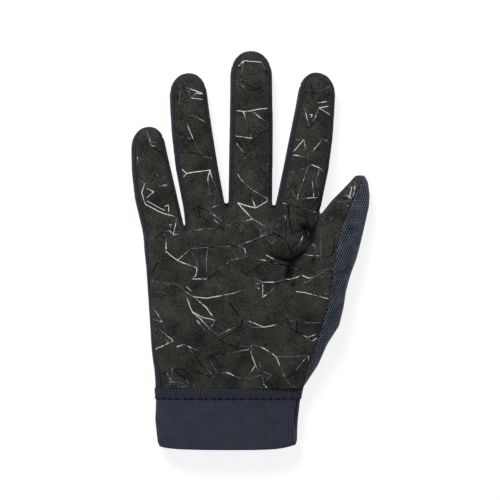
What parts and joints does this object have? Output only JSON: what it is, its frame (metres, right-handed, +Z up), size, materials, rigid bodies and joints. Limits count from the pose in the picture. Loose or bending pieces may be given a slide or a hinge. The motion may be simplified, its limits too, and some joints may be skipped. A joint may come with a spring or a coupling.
{
  "type": "full-finger cycling glove",
  "caption": "Full-finger cycling glove lying palm up: suede palm and thumb, knitted back, mesh thumb back, strips between the fingers, overlocked seam and elastic pull-on cuff.",
  "frame": {"origin": "centre of the bounding box in plan, on the surface that the glove lies on", "axes": "+Y from the cuff towards the fingertips, +X towards the thumb side of the palm, +Z up out of the palm"},
  "size_m": [0.131, 0.22, 0.0202],
  "materials": {
    "suede": "dark olive-grey synthetic suede with a thin raised grip print, part gloss white and part black",
    "knit": "dark navy fine knit",
    "mesh": "navy perforated mesh, matt",
    "elastic": "dark navy elastic with fine crosswise ribs"
  },
  "bodies": {
    "root": {"palm_panel": "suede", "thumb_panel": "suede", "back_panel": "knit", "thumb_back": "mesh", "finger_strip_little_ring": "knit", "finger_strip_ring_middle": "knit", "finger_strip_middle_index": "knit", "cuff_seam": "elastic", "cuff_band": "elastic"}
  },
  "joints": []
}
